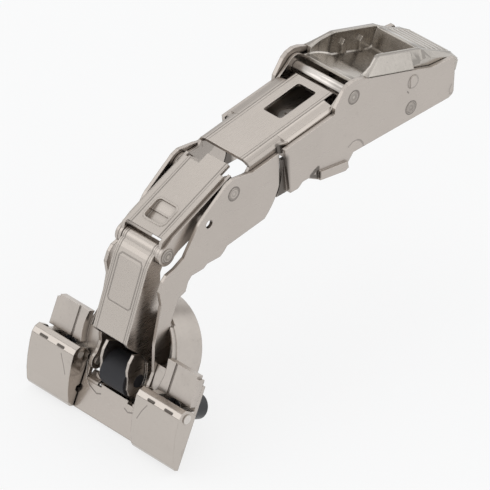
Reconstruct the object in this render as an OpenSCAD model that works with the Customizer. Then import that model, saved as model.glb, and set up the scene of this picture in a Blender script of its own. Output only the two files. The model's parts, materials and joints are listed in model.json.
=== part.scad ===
// Concealed wide-angle cup hinge, drawn in its open pose.
// X runs from the arm to the cup, Y across the hinge, Z up from the arm's seat.
// The origin is on the arm's seat plane, under the arm pin, on the centre plane.

/* [Linkage] */
// Door angle of this open pose, in degrees from closed
opening_angle = 155; // [153:1:157]
// Distance from the arm pin to the middle rivet, in mm
rear_lever_length = 51; // [50.6:0.1:51.4]
// Fall of the rear lever below the horizontal, in degrees
rear_lever_fall = 13.5; // [13:0.5:14]
// Distance from the middle rivet to the front pin, in mm
front_lever_length = 27.9; // [27.6:0.1:28.2]
// Fall of the front lever below the horizontal, in degrees
front_lever_fall = 23.9; // [23.5:0.1:24.3]
// Flange line ahead of the arm pin, in mm
flange_x = 85.7; // [85.4:0.1:86]
// Flange line above the arm pin, in mm
flange_z = -66; // [-66.3:0.1:-65.7]

/* [Arm] */
// Width over the arm's side plates, in mm
arm_width = 27; // [26.5:0.5:28]
// Sheet thickness of the arm, in mm
arm_sheet = 1.4; // [1.2:0.1:1.5]
// Arm pin diameter, in mm
arm_pin_diameter = 4; // [3.6:0.2:4.2]
// Clip rivet diameter, in mm
clip_rivet_diameter = 3.6; // [3.2:0.2:4]
// Adjusting screw head diameter, in mm
screw_head_diameter = 7; // [6:0.5:8]

/* [Levers] */
// Sheet thickness of the long levers, in mm
long_sheet = 1.2; // [1:0.1:1.3]
// Sheet thickness of the folded levers, in mm
lever_sheet = 1.1; // [0.9:0.1:1.2]
// Middle rivet diameter, in mm
middle_rivet_diameter = 4; // [3.6:0.2:4.2]
// Front pin diameter, in mm
front_pin_diameter = 3.6; // [3.2:0.2:3.8]
// Diameter of the pins in the cup, in mm
cup_pin_diameter = 2.8; // [2.4:0.2:3]
// Side gap between neighbouring levers, in mm
side_gap = 0.1; // [0.08:0.02:0.12]
// Radial clearance of a running pin, in mm
running_clearance = 0.05; // [0.03:0.01:0.08]

/* [Cup] */
// Cup diameter, in mm
cup_diameter = 35; // [34.8:0.1:35.2]
// Cup depth behind the flange face, in mm
cup_depth = 13; // [12.6:0.2:13.4]
// Cup wall thickness, in mm
cup_wall = 0.9; // [0.8:0.1:1.1]
// Flange length across the hinge, in mm
flange_length = 61; // [60:0.5:62]
// Flange sheet thickness, in mm
flange_sheet = 1.5; // [1.3:0.1:1.6]
// Dowel spacing, in mm
dowel_spacing = 45; // [44:0.5:46]
// Dowel diameter, in mm
dowel_diameter = 8; // [7.8:0.1:8.2]
// Dowel length behind the flange, in mm
dowel_length = 11; // [10:0.5:12]
// Distance from the dowel line to the cup centre, in mm
dowel_offset = 9.5; // [9:0.5:9.5]

/* [Hidden] */
$fn = 48;
eps = 0.01;

// Pivots in the X-Z plane
middle = [rear_lever_length * cos(rear_lever_fall), -rear_lever_length * sin(rear_lever_fall)];
front = [
  middle[0] + front_lever_length * cos(front_lever_fall),
  middle[1] - front_lever_length * sin(front_lever_fall)
];
clip = [-25.3, -15.7];
flange_turn = opening_angle - 270;
// Pivots in the flange's own plane: along the flange, then into the door
long_pivot = [-0.5, 1.2];
link_pivot = [0, 5.5];
cup_centre = dowel_offset - 0.6;
dowel_line = -0.6;

// Layers from the outside in, each a half width
arm_out = arm_width / 2;
arm_in = arm_out - arm_sheet;
long_out = arm_in - side_gap;
long_in = long_out - long_sheet;
rear_out = long_in - side_gap;
rear_in = rear_out - lever_sheet;
plate_out = rear_in - side_gap;
plate_in = plate_out - lever_sheet;
cover_in = plate_in - lever_sheet;
link_out = cover_in - side_gap;
link_in = link_out - lever_sheet;
damper_half = link_in - side_gap;

arm_pin_r = arm_pin_diameter / 2;
clip_r = clip_rivet_diameter / 2;
middle_r = middle_rivet_diameter / 2;
front_r = front_pin_diameter / 2;
cup_pin_r = cup_pin_diameter / 2;
cup_r = cup_diameter / 2;
bowl_r = cup_r - cup_wall;

// A point of the flange's own plane, in the X-Z plane
function flange_point(p) = [
  flange_x + p[0] * cos(flange_turn) + p[1] * sin(flange_turn),
  flange_z - p[0] * sin(flange_turn) + p[1] * cos(flange_turn)
];
// A point beside the middle rivet, in the X-Z plane
function near_middle(p) = [middle[0] + p[0], middle[1] + p[1]];
long_end = flange_point(long_pivot);
link_end = flange_point(link_pivot);

// Height of the arm pin above the seat
seat_drop = 20;

// Stands the hinge on its seat plane: outlines below are measured from the arm pin
module raised() {
  translate([0, 0, seat_drop])
    children();
}

// Draws an X-Z outline as a plate between two Y values
module plate(y0, y1) {
  translate([0, y1, 0])
    rotate([90, 0, 0])
      linear_extrude(height = y1 - y0)
        children();
}

// Draws the same plate on both sides of the centre plane
module plates(y0, y1) {
  plate(y0, y1) children();
  plate(-y1, -y0) children();
}

// A round bar along Y through a point of the X-Z plane
module bar(p, r, y0, y1) {
  translate([p[0], y1, p[1]])
    rotate([90, 0, 0])
      cylinder(r = r, h = y1 - y0);
}

module disc(p, r) {
  translate([p[0], p[1]])
    circle(r = r);
}

// Places children in the flange's frame: X along it, Z into the door
module on_flange() {
  translate([flange_x, 0, flange_z])
    rotate([0, flange_turn, 0])
      children();
}

// Places children beside the middle rivet, X along the front lever
module on_front_lever() {
  translate([middle[0], 0, middle[1]])
    rotate([0, front_lever_fall, 0])
      children();
}

// Fall of the rear lever's cover, in degrees
cover_fall = 8;
// How far an eye is set back from the face of the wall it grows from
inset = 0.04;

// Places children on the rear lever's cover: X along it, Z up
module on_rear_cover() {
  translate([0, 0, 0.98])
    rotate([0, cover_fall, 0])
      children();
}

module rounded(x0, y0, x1, y1, r) {
  translate([x0 + r, y0])
    square([x1 - x0 - 2 * r, y1 - y0]);
  translate([x0, y0 + r])
    square([x1 - x0, y1 - y0 - 2 * r]);
  for (x = [x0 + r, x1 - r])
    for (y = [y0 + r, y1 - r])
      disc([x, y], r);
}

// Arm

arm_top = [
  [-44.9, -6.8], [-44.4, -6.0], [-34.5, -5.2], [-26, -2.4], [-7, 3.6], [-2.6, 5.4], [0, 5.9],
  [2.6, 5.4], [4.4, 4.2], [8, -0.6], [8.2, -2.5], [16, -3.5], [28, -5.0], [29.5, -5.2]
];
arm_bottom = [
  [27.2, -21.8], [24, -21.8], [23, -21.2], [22, -20.3], [19.5, -20.2], [15, -22.8], [4, -24.6],
  [2.6, -24], [2.2, -22.6], [0, -20], [-42.2, -20], [-43.8, -19.4], [-44.4, -18.4]
];

module arm_outline() {
  polygon(concat(arm_top, arm_bottom));
}

// The short inner tongue ahead of each side plate, cut to the long lever's swing
module arm_tongue() {
  difference() {
    polygon([[24, -9.4], [31.6, -9.4], [33.4, -21.8], [24, -21.8]]);
    disc(middle, 20.4);
  }
}

module arm_floor() {
  polygon([[-19.4, -9], [27, -9], [27, -10.4], [-19.4, -10.4]]);
}

module arm() {
  color([0.77, 0.74, 0.71]) raised() {
    difference() {
      union() {
        plates(arm_in, arm_out) arm_outline();
        plates(long_in, arm_in + eps) arm_tongue();
        plate(-arm_in - eps, arm_in + eps) arm_floor();
        plates(arm_out - eps, arm_out + 0.7)
          polygon([[3, -21.6], [15, -19.8], [15, -22.8], [4, -24.6], [2.6, -24]]);
        plates(arm_out - eps, arm_out + 0.25) difference() {
          disc([-26, -6.5], 2.2);
          translate([-24.8, -9])
            square([4, 5]);
        }
        plate(-arm_in - eps, arm_in + eps)
          polygon([[-7, -seat_drop], [7, -seat_drop], [7, 1.4 - seat_drop], [-7, 1.4 - seat_drop]]);
        plate(-arm_in - eps, arm_in + eps)
          polygon([[-44.2, -16.5], [-43, -16.5], [-43, -19.4], [-43.8, -19.4], [-44.2, -18.6]]);
      }
      bar([0, 0], arm_pin_r, -arm_out - 1, arm_out + 1);
      bar(clip, clip_r, -arm_out - 1, arm_out + 1);
      for (x = [depth_x, side_x])
        translate([x, 0, -12])
          cylinder(r = screw_head_diameter / 4 + running_clearance, h = 5);
    }
  }
}

module arm_pin() {
  color([0.8, 0.78, 0.76]) raised()
    bar([0, 0], arm_pin_r, -arm_out - 0.1, arm_out + 0.1);
}

// Clip lever at the rear of the arm

clip_out = arm_in - side_gap;
clip_in = clip_out - 1.3;

// Slope of the arm's top edge under the clip lever, in degrees
clip_slope = 17.7;
// Half width over the clip lever's top edges
clip_top = 8.8;
// Half width of the recess between them
recess_half = 7.4;

// Places children on the arm's sloping top edge: X up the slope, Z out of it
module on_arm_slope() {
  translate([-26, 0, -2.4])
    rotate([0, -clip_slope, 0])
      children();
}

// The lever's tray, with sides that lean in from a foot of the given half width
module clip_tray(x0, x1, foot, foot_z) {
  on_arm_slope()
    translate([x0, 0, 0])
      rotate([90, 0, 90])
        linear_extrude(height = x1 - x0)
          polygon([
            [-clip_out, -1.5], [-clip_out, foot_z], [-foot, foot_z], [-clip_top, 3.9], [-clip_top + 0.6, 4.1],
            [clip_top - 0.6, 4.1], [clip_top, 3.9], [foot, foot_z], [clip_out, foot_z], [clip_out, -1.5]
          ]);
}

// Outline of the lever seen from the side
module clip_profile() {
  polygon([
    [-46.4, -7.8], [-45.9, -6.6], [-34.2, -0.9], [-14.6, 5.4], [-12.8, 5.3], [-6.4, 4.1], [-5.8, 2.2],
    [-5.8, -4], [-46, -14]
  ]);
}

module clip_side() {
  polygon([
    [-44.6, -8.8], [-44.2, -7.2], [-34.5, -4.4], [-26, -1.6], [-6.6, 3.9], [-5.8, 2.2], [-5.8, -1.5],
    [-20, -7.5], [-22, -12.5], [-30, -12.5], [-41, -12]
  ]);
}

module clip_lever() {
  color([0.7, 0.69, 0.66]) raised() {
    difference() {
      union() {
        intersection() {
          union() {
            clip_tray(-0.6, 20.9, arm_out - 0.15, 0.15);
            clip_tray(-20.6, -0.59, clip_out + 0.01, 1.2);
          }
          plate(-arm_out, arm_out) clip_profile();
        }
        plates(clip_in, clip_out) clip_side();
        bar(clip, 4.3, clip_in, clip_out);
        bar(clip, 4.3, -clip_out, -clip_in);
      }
      plate(-recess_half, recess_half)
        polygon([[-32.4, -1.6], [-33.6, 1], [-12, 9], [-8, 2.4], [-8, -8], [-30.6, -9]]);
      plate(-10.4, 10.4)
        polygon([[-13.4, 7], [-10.9, 0.4], [-10.9, -6], [-2, -6], [-2, 8]]);
      bar(clip, clip_r + running_clearance, -arm_out, arm_out);
    }
    plate(-clip_in - 0.4, clip_in + 0.4)
      polygon([[-11.6, 0.1], [-3.25, 2.85], [-3.9, 2.1], [-4.7, 0.9], [-5.4, 0.1], [-11.6, -1.8]]);
    plate(-recess_half - eps, recess_half + eps)
      polygon([[-14.4, -0.8], [-11.5, 0.12], [-11.5, -1.8], [-14.4, -1.8]]);
    plate(-recess_half - eps, recess_half + eps)
      polygon([[-33, -3], [-31.9, -2.6], [-29, -6.6], [-23.6, -7], [-23.6, -8], [-29.6, -7.8], [-33, -5]]);
    for (s = [-1, 1])
      for (x = [-27.5, -19.5])
        plate(s > 0 ? recess_half - 0.7 : -recess_half - eps, s > 0 ? recess_half + eps : -recess_half + 0.7)
          polygon([[x, -1.5], [x + 1.2, 0.6], [x + 2.4, -1.5], [x + 2.2, -5.5], [x + 0.4, -6]]);
    for (i = [0:4])
      plate(-recess_half, recess_half)
        translate([-36 - 2.05 * i, -2 - 0.99 * i])
          circle(r = 0.55);
  }
}

module clip_rivet() {
  color([0.79, 0.77, 0.75]) raised()
    bar(clip, clip_r, -arm_out - 0.1, arm_out + 0.1);
}

module clip_spring() {
  color([0.6, 0.6, 0.6]) raised() {
    for (i = [0:4])
      translate([clip[0], -4 + 2 * i, clip[1]])
        rotate([90, 0, 0])
          rotate_extrude()
            translate([clip_r + 1, 0])
              circle(r = 1);
  }
}

// Adjusting screws

depth_x = -14;
side_x = 14;

module screw(x) {
  difference() {
    union() {
      translate([x, 0, -9])
        cylinder(r = screw_head_diameter / 2, h = 2.6);
      translate([x, 0, -12.5])
        cylinder(r = screw_head_diameter / 4, h = 4);
    }
    translate([x - 2.2, -0.4, -7.8])
      cube([4.4, 0.8, 3]);
    translate([x - 0.4, -2.2, -7.8])
      cube([0.8, 4.4, 3]);
  }
}

module depth_screw() {
  color([0.66, 0.65, 0.62]) raised()
    screw(depth_x);
}

module side_screw() {
  color([0.66, 0.65, 0.62]) raised()
    screw(side_x);
}

// Rear lever, a folded cover from the arm pin to the middle rivet

module rear_section(out) {
  t = lever_sheet;
  polygon([
    [-out, -4.6], [-out, -1.6], [-out + 0.8, -0.65], [-7.9, 0],
    [7.9, 0], [out - 0.8, -0.65], [out, -1.6], [out, -4.6],
    [out - t, -4.6], [out - t, -2], [7.7, -t], [-7.7, -t], [-out + t, -2], [-out + t, -4.6]
  ]);
}

// Extrudes a Y-Z section along the cover
module along_cover(x0, x1) {
  on_rear_cover()
    translate([x0, 0, 0])
      rotate([90, 0, 90])
        linear_extrude(height = x1 - x0)
          children();
}

module rear_joggle() {
  polygon([
    [27.4, long_out], [28, long_out], [30.8, rear_out], [31, rear_out - 0.4],
    [28.2, rear_in + 0.2], [27.4, long_out - 0.8]
  ]);
}

module rear_lever() {
  color([0.79, 0.76, 0.73]) raised() {
    difference() {
      union() {
        along_cover(7.5, 28) rear_section(long_out);
        along_cover(28, 42.4) rear_section(rear_out);
        on_rear_cover()
          translate([3.4, -7.9, -lever_sheet])
            cube([5, 15.8, lever_sheet]);
        for (m = [0, 1])
          mirror([0, m, 0])
            on_rear_cover()
              translate([0, 0, -4.5])
                linear_extrude(height = 3.4)
                  rear_joggle();
        for (m = [0, 1])
          mirror([0, m, 0]) {
            bar([0, 0], 4.1, long_out - lever_sheet + inset, long_out - inset);
            plate(long_out - lever_sheet + inset, long_out - inset)
              polygon([[0, 3.9], [2.4, 3.2], [8.6, -1.7], [9, -5.4], [0, -3.9]]);
            bar(middle, 4, rear_in + inset, rear_out - inset);
            plate(rear_in + inset, rear_out - inset)
              polygon([
                [31.5, -5.4], [41.2, -6.2], [43, -8.4], near_middle([-1.6, 3.5]),
                near_middle([-2.4, -3]), [38, -12.5], [31.5, -8.6]
              ]);
          }
      }
      on_rear_cover()
        translate([0, 0, -3])
          linear_extrude(height = 4)
            rounded(6.3, -3.8, 21.9, 3.8, 1);
      bar([0, 0], arm_pin_r + running_clearance, -arm_out, arm_out);
      bar(middle, middle_r + running_clearance, -arm_out, arm_out);
    }
  }
}

module middle_rivet() {
  color([0.8, 0.78, 0.76]) raised()
    bar(middle, middle_r, -long_out - 0.15, long_out + 0.15);
}

// Long levers, one outside each side of the middle rivet

long_upper = [
  [-19.1, 5.4], [-8.1, 3.9], [-6.1, 4.4], [0.4, 5.3], [2.9, 4.4], [13.9, -3.6], [14.9, -4.6],
  [19.9, -11.6], [20.9, -13.1], [24.9, -15.1], [28.2, -15.9], [29.9, -17.6], [31.2, -20.6]
];
// Neck in the flange's own plane, over the cup's far rim
neck_upper = [
  [28.2, -6.9], [22, -5.6], [15, -4.1], [9, -1.6], [6, -0.3], [3.4, -0.4], [1.4, -0.8]
];
neck_lower = [
  [1, 3.4], [4, 4.4], [12, 4.2], [17, 3], [20.4, 1.5], [22.4, -0.1], [30.6, -0.1]
];
long_lower = [
  [20.5, -25.4], [19.4, -22.4], [17.9, -20.9], [12.9, -20.8], [11.4, -19.8], [5.9, -19.9],
  [4.4, -18.9], [2.9, -17.4], [-14.2, -15.2], [-15.8, -14.2], [-17, -12.4], [-18.4, -10.6],
  [-19.2, -10]
];

module long_lever(y0, y1) {
  difference() {
    union() {
      intersection() {
        plate(y0, y1)
          polygon(concat(
            [for (p = long_upper) near_middle(p)],
            [for (p = neck_upper) flange_point(p)],
            [for (p = neck_lower) flange_point(p)],
            [for (p = long_lower) near_middle(p)]
          ));
        union() {
          bar(middle, 20.05, y0 - 1, y1 + 1);
          translate([middle[0] - 12, y0 - 1, -90])
            cube([80, y1 - y0 + 2, 100]);
        }
      }
      bar(long_end, 2.9, y0, y1);
    }
    bar(middle, middle_r, -20, 20);
    bar(long_end, cup_pin_r + running_clearance, -20, 20);
    bar(near_middle([10.4, -5.9]), 1.4, -20, 20);
  }
}

module long_lever_left() {
  color([0.77, 0.74, 0.71]) raised()
    long_lever(long_in, long_out);
}

module long_lever_right() {
  color([0.77, 0.74, 0.71]) raised()
    long_lever(-long_out, -long_in);
}

// Front lever: a cover and two eye plates between the middle rivet and the front pin

module front_plate(side) {
  y0 = side > 0 ? plate_in : -plate_out;
  y1 = side > 0 ? plate_out : -plate_in;
  on_front_lever()
    difference() {
      union() {
        bar([0, 0], 4, y0, y1);
        bar([front_lever_length, 0], 3.3, y0, y1);
        plate(y0, y1)
          polygon([
            [-3, 3.9], [23, 3.9], [front_lever_length + 1, 2.9], [front_lever_length, -3],
            [front_lever_length - 4, -2.2], [6, -3], [0, -3.8]
          ]);
      }
      bar([0, 0], middle_r + running_clearance, -20, 20);
      bar([front_lever_length, 0], front_r, -20, 20);
    }
}

module front_plate_left() {
  color([0.76, 0.73, 0.7]) raised()
    front_plate(1);
}

module front_plate_right() {
  color([0.76, 0.73, 0.7]) raised()
    front_plate(-1);
}

// Centre of the cover's pocket, ahead of the middle rivet
pocket_x = 18.5;

module cover_wall(y0, y1) {
  bar([0, 0], 3.9, y0, y1);
  bar([front_lever_length, 0], 3.2, y0, y1);
  plate(y0, y1)
    polygon([
      [-1.2, 4.9], [front_lever_length - 0.9, 4.9], [front_lever_length + 0.7, 2.8],
      [front_lever_length - 0.3, -2], [front_lever_length - 8, 0], [6, 0], [0, -2]
    ]);
}

module front_cover() {
  color([0.8, 0.77, 0.74]) raised() {
    on_front_lever() {
      difference() {
        union() {
          cover_wall(cover_in, plate_in);
          cover_wall(-plate_in, -cover_in);
          plate(-cover_in - eps, cover_in + eps)
            polygon([
              [-1.2, 4.9], [front_lever_length - 2.15, 4.9], [front_lever_length - 2.4, 3.8], [-1.2, 3.8]
            ]);
          plate(-2.1, 6.9)
            polygon([[-5.4, 4.9], [-1, 4.9], [-1, 3.8], [-5.4, 3.8]]);
        }
        bar([0, 0], middle_r + running_clearance, -20, 20);
        bar([front_lever_length, 0], front_r, -20, 20);
        translate([pocket_x, 0, 3])
          linear_extrude(height = 3)
            rounded(-4, -4.3, 4, 4.3, 1.7);
      }
      difference() {
        translate([pocket_x, 0, 2.2])
          linear_extrude(height = 2.95)
            rounded(-4.3, -4.6, 4.3, 4.6, 2);
        translate([pocket_x, 0, 2])
          linear_extrude(height = 4)
            rounded(-3.7, -4, 3.7, 4, 1.4);
      }
      translate([pocket_x, 0, 0])
        plate(-4.1, 4.1)
          polygon([[-3.9, 4.3], [-0.5, 3.7], [0.1, 3.7], [0.1, 3.2], [3.9, 2.8], [3.9, 2.2], [-3.9, 2.2]]);
    }
  }
}

module front_pin() {
  color([0.8, 0.78, 0.76]) raised() {
    bar(front, front_r, -plate_out - 0.5, plate_out + 0.5);
    bar(front, front_r + 0.7, plate_out, plate_out + 0.5);
    bar(front, front_r + 0.7, -plate_out - 0.5, -plate_out);
  }
}

// Cup link, a folded cover from the front pin into the cup

link_lip = [13.2, -11.1];
// The front pin in the flange's own plane
front_in_flange = [
  (front[0] - flange_x) * cos(flange_turn) - (front[1] - flange_z) * sin(flange_turn),
  (front[0] - flange_x) * sin(flange_turn) + (front[1] - flange_z) * cos(flange_turn)
];
// A point beside the front pin, in the flange's own plane
function near_front(p) = [front_in_flange[0] + p[0], front_in_flange[1] + p[1]];
// The web's outer face near the pin, set in so that the lever's cover passes when the hinge folds
link_crown = [for (p = [[-0.5, -2.86], [-1.4, -3.45], [-3, -3.85], [-5.6, -4.2]]) near_front(p)];
link_crown_in = [for (p = [[-5.5, -3.1], [-3.2, -2.75], [-2.2, -1.8]]) near_front(p)];

module link_flange() {
  polygon(concat(
    link_crown,
    [link_lip, [12.2, -9.8], [10.6, -5.6], [8.8, -1], [7, 1.4]],
    [[4, 2.6], [0.4, 3.4], [-1.4, 5.5], [0.4, 7.6], [5, 7.2], [12, 4.4], [19, 1.2], [23, -0.7]],
    [for (p = [[-13.2, 5.3], [-6.2, 2.1], [-1.8, 2.3], [1.8, 0], [1.9, -1.5]]) near_front(p)]
  ));
}

module cup_link() {
  color([0.79, 0.76, 0.73]) raised() {
    difference() {
      union() {
        on_flange() {
          plates(link_in, link_out) link_flange();
          bar(link_pivot, 2.4, link_in, link_out);
          bar(link_pivot, 2.4, -link_out, -link_in);
          plate(-link_out, link_out)
            polygon(concat(link_crown, [link_lip, [13.2, -10]], link_crown_in));
        }
        bar(front, front_r + 1.1, -link_out, link_out);
      }
      bar(front, front_r + running_clearance, -arm_out, arm_out);
      on_flange()
        bar(link_pivot, cup_pin_r, -arm_out, arm_out);
      on_flange()
        translate([17, -3.6, -13])
          rotate([0, 3.7, 0])
            translate([0, 0, -0.4])
              cube([21, 7.2, 1]);
    }
  }
}

module link_pin_left() {
  color([0.75, 0.74, 0.72]) raised()
    on_flange()
      bar(link_pivot, cup_pin_r, link_in - 0.05, link_out + 0.9);
}

module link_pin_right() {
  color([0.75, 0.74, 0.72]) raised()
    on_flange()
      bar(link_pivot, cup_pin_r, -link_out - 0.9, -link_in + 0.05);
}

// Damper between the link's flanges

damper_at = [0.3, 1.6];
damper_r = 5.8;
cheek = 1;
damper_foot = cup_depth - 1.2;

// Two cheeks that carry the damper, inside the link's flanges
module damper_bracket() {
  color([0.74, 0.71, 0.68]) raised()
    on_flange()
      difference() {
        plates(damper_half - cheek, damper_half)
          polygon([
            [9, -4.4], [6, -5.2], [3.4, -4.9], [1, -3.7], [-2.5, -2.6], [-4.6, -0.6], [-5.4, 2],
            [-5.2, damper_foot], [6.4, damper_foot], [9, 5]
          ]);
        bar(damper_at, 2.2, -damper_half - 1, damper_half + 1);
      }
}

module damper_body() {
  color([0.09, 0.09, 0.1]) raised()
    on_flange()
      difference() {
        union() {
          bar(damper_at, damper_r, -damper_half + cheek, damper_half - cheek);
          translate([damper_at[0] - 4.4, -damper_half + cheek, damper_at[1]])
            cube([8.8, 2 * (damper_half - cheek), damper_foot - damper_at[1]]);
        }
        bar(damper_at, 2.2, -damper_half - 1, damper_half + 1);
      }
}

module damper_slide() {
  color([0.13, 0.13, 0.14]) raised()
    on_flange()
      bar(damper_at, 2.1, -damper_half, damper_half);
}

// Cup, flange and dowels

// Radius of the cup's neck, which sits in the flange plate
neck_r = cup_r - 0.3;

module cup_solid() {
  translate([cup_centre, 0, 0])
    cylinder(r = neck_r, h = cup_depth - 1, $fn = 96);
  translate([cup_centre, 0, flange_sheet])
    cylinder(r = cup_r, h = cup_depth - flange_sheet, $fn = 96);
}

module cup() {
  color([0.76, 0.73, 0.7]) raised()
    on_flange()
      difference() {
        union() {
          difference() {
            cup_solid();
            translate([cup_centre, 0, -1])
              cylinder(r = bowl_r, h = cup_depth - 0.2, $fn = 96);
          }
          intersection() {
            cup_solid();
            for (s = [-1, 1])
              translate([-8, s > 0 ? arm_in : -20, 0])
                cube([17, 20 - arm_in, cup_depth]);
          }
        }
        translate([-10, -arm_in, -1])
          cube([9.5, 2 * arm_in, 1 + flange_sheet]);
        for (s = [-1, 1])
          translate([-10, s > 0 ? long_in - 0.5 : -arm_in, -1])
            cube([9.5, arm_in - long_in + 0.5, 5.6]);
        for (y = [-link_out - 0.3, link_in - 0.3])
          intersection() {
            translate([cup_centre, 0, 0])
              cylinder(r = cup_r - 0.4, h = damper_foot, $fn = 96);
            translate([-10, y, 0])
              cube([10, lever_sheet + 0.6, damper_foot]);
          }
        for (s = [-1, 1])
          translate([8, s > 0 ? long_in - 0.6 : -arm_in, -1])
            cube([20, arm_in - long_in + 0.6, 3.2]);
        bar(long_pivot, cup_pin_r, -20, 20);
      }
}

module cup_pin(side) {
  on_flange()
    bar(long_pivot, cup_pin_r, side > 0 ? long_in - 0.3 : -arm_in - 1.2, side > 0 ? arm_in + 1.2 : -long_in + 0.3);
}

module cup_pin_left() {
  color([0.75, 0.74, 0.72]) raised()
    cup_pin(1);
}

module cup_pin_right() {
  color([0.75, 0.74, 0.72]) raised()
    cup_pin(-1);
}

half = flange_length / 2;

module flange_plate() {
  color([0.77, 0.74, 0.71]) raised()
    on_flange() {
      translate([-9.2, -link_in + 0.4, 0])
        cube([3, 2 * link_in - 0.8, flange_sheet]);
      difference() {
        linear_extrude(height = flange_sheet)
          difference() {
            union() {
              translate([-17, -half + 1])
                square([28.5, flange_length - 2]);
              translate([-16, -half])
                square([26, flange_length]);
            }
            translate([cup_centre, 0])
              circle(r = neck_r, $fn = 96);
            translate([-7.2, -arm_in])
              square([10, 2 * arm_in]);
            for (s = [-1, 1])
              translate([dowel_line, s * dowel_spacing / 2])
                circle(r = dowel_diameter / 2 - 1);
          }
      }
    }
}

// Raised block behind each flap

block_z = -2.5;

module block(side) {
  on_flange()
    difference() {
      translate([0, 0, block_z])
        linear_extrude(height = -block_z)
          difference() {
            union() {
              translate([3.2, side > 0 ? 13.3 : -half])
                square([9, half - 13.3]);
              translate([4.2, side > 0 ? 13.3 : -half + 1])
                square([9, half - 14.3]);
            }
            translate([cup_centre, 0])
              circle(r = cup_r + 0.01, $fn = 96);
          }
      translate([2, side > 0 ? 20.4 : -21.2, block_z - 1])
        cube([12, 0.8, 1.5]);
    }
}

module block_left() {
  color([0.76, 0.73, 0.7]) raised()
    block(1);
}

module block_right() {
  color([0.76, 0.73, 0.7]) raised()
    block(-1);
}

// Flaps that spread the dowels, each on a rivet beside the dowel

flap_in = arm_out + 0.2;
flap_end = half + 1.4;
flap_axis = [0.2, -4.2];
flap_rivet_r = 1.1;

module flap_shell() {
  polygon([
    [2.9, -5.4], [1.8, -6.9], [0, -7.5], [-3, -7.2], [-8, -6.1], [-12, -4.8], [-16, -2.9], [-17, -1.8],
    [-17, -0.4], [-15.6, -1.6], [-12, -3.5], [-8, -4.9], [-3, -6.1], [0, -6.4], [1.4, -6], [2.2, -4.8]
  ]);
}

module flap_cheek() {
  polygon([
    [2.9, -5.4], [1.8, -6.9], [0, -7.5], [-3, -7.2], [-8, -6.1], [-12, -4.8], [-16, -2.9], [-17, -1.8],
    [-17, -0.4], [-12.4, -0.4], [-11.6, -1.6], [-10.4, -1.6], [-9.6, -0.4], [1, -0.4], [2.4, -2.6]
  ]);
}

module flap(side) {
  on_flange()
    mirror([0, side > 0 ? 0 : 1, 0])
      difference() {
        union() {
          plate(flap_in, flap_end) flap_shell();
          plate(flap_in, flap_in + 1.2) flap_cheek();
          plate(flap_end - 1.2, flap_end) flap_cheek();
        }
        bar(flap_axis, flap_rivet_r + running_clearance, 0, 40);
      }
}

module flap_left() {
  color([0.79, 0.76, 0.73]) raised()
    flap(1);
}

module flap_right() {
  color([0.79, 0.76, 0.73]) raised()
    flap(-1);
}

// The rivet with the two lugs that hold it on the flange
module flap_rivet(side) {
  on_flange()
    mirror([0, side > 0 ? 0 : 1, 0]) {
      bar(flap_axis, flap_rivet_r, flap_in - 0.1, flap_end + 0.05);
      bar(flap_axis, flap_rivet_r + 0.4, flap_end + 0.05, flap_end + 0.4);
      for (y = [flap_in + 1.3, flap_end - 4.3]) {
        bar(flap_axis, 1.8, y, y + 3);
        plate(y, y + 3)
          polygon([[-1.2, 0], [-1.4, -4.2], [1.8, -4.2], [1.9, 0]]);
      }
    }
}

module flap_rivet_left() {
  color([0.72, 0.7, 0.68]) raised()
    flap_rivet(1);
}

module flap_rivet_right() {
  color([0.72, 0.7, 0.68]) raised()
    flap_rivet(-1);
}

module dowel(side) {
  r = dowel_diameter / 2;
  on_flange()
    translate([dowel_line, side * dowel_spacing / 2, flange_sheet])
      difference() {
        union() {
          cylinder(r = r, h = dowel_length - 1);
          translate([0, 0, dowel_length - 1])
            cylinder(r1 = r, r2 = r - 1, h = 1);
          translate([0, 0, -flange_sheet])
            cylinder(r = r - 1, h = flange_sheet + eps);
        }
        translate([-r - 1, -0.5, dowel_length - 4])
          cube([2 * r + 2, 1, 5]);
      }
}

module dowel_left() {
  color([0.07, 0.07, 0.08]) raised()
    dowel(1);
}

module dowel_right() {
  color([0.07, 0.07, 0.08]) raised()
    dowel(-1);
}

arm();
arm_pin();
clip_lever();
clip_rivet();
clip_spring();
depth_screw();
side_screw();
rear_lever();
middle_rivet();
long_lever_left();
long_lever_right();
front_cover();
front_plate_left();
front_plate_right();
front_pin();
cup_link();
link_pin_left();
link_pin_right();
damper_bracket();
damper_body();
damper_slide();
cup();
cup_pin_left();
cup_pin_right();
flange_plate();
block_left();
block_right();
flap_left();
flap_right();
flap_rivet_left();
flap_rivet_right();
dowel_left();
dowel_right();
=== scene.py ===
"""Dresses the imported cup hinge: nickel finishes, turned pins, a casting, pressed marks, studio and camera."""

import json
import logging
import math
from dataclasses import dataclass, field
from enum import Enum
from typing import NamedTuple, Optional, Sequence, Union

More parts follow.
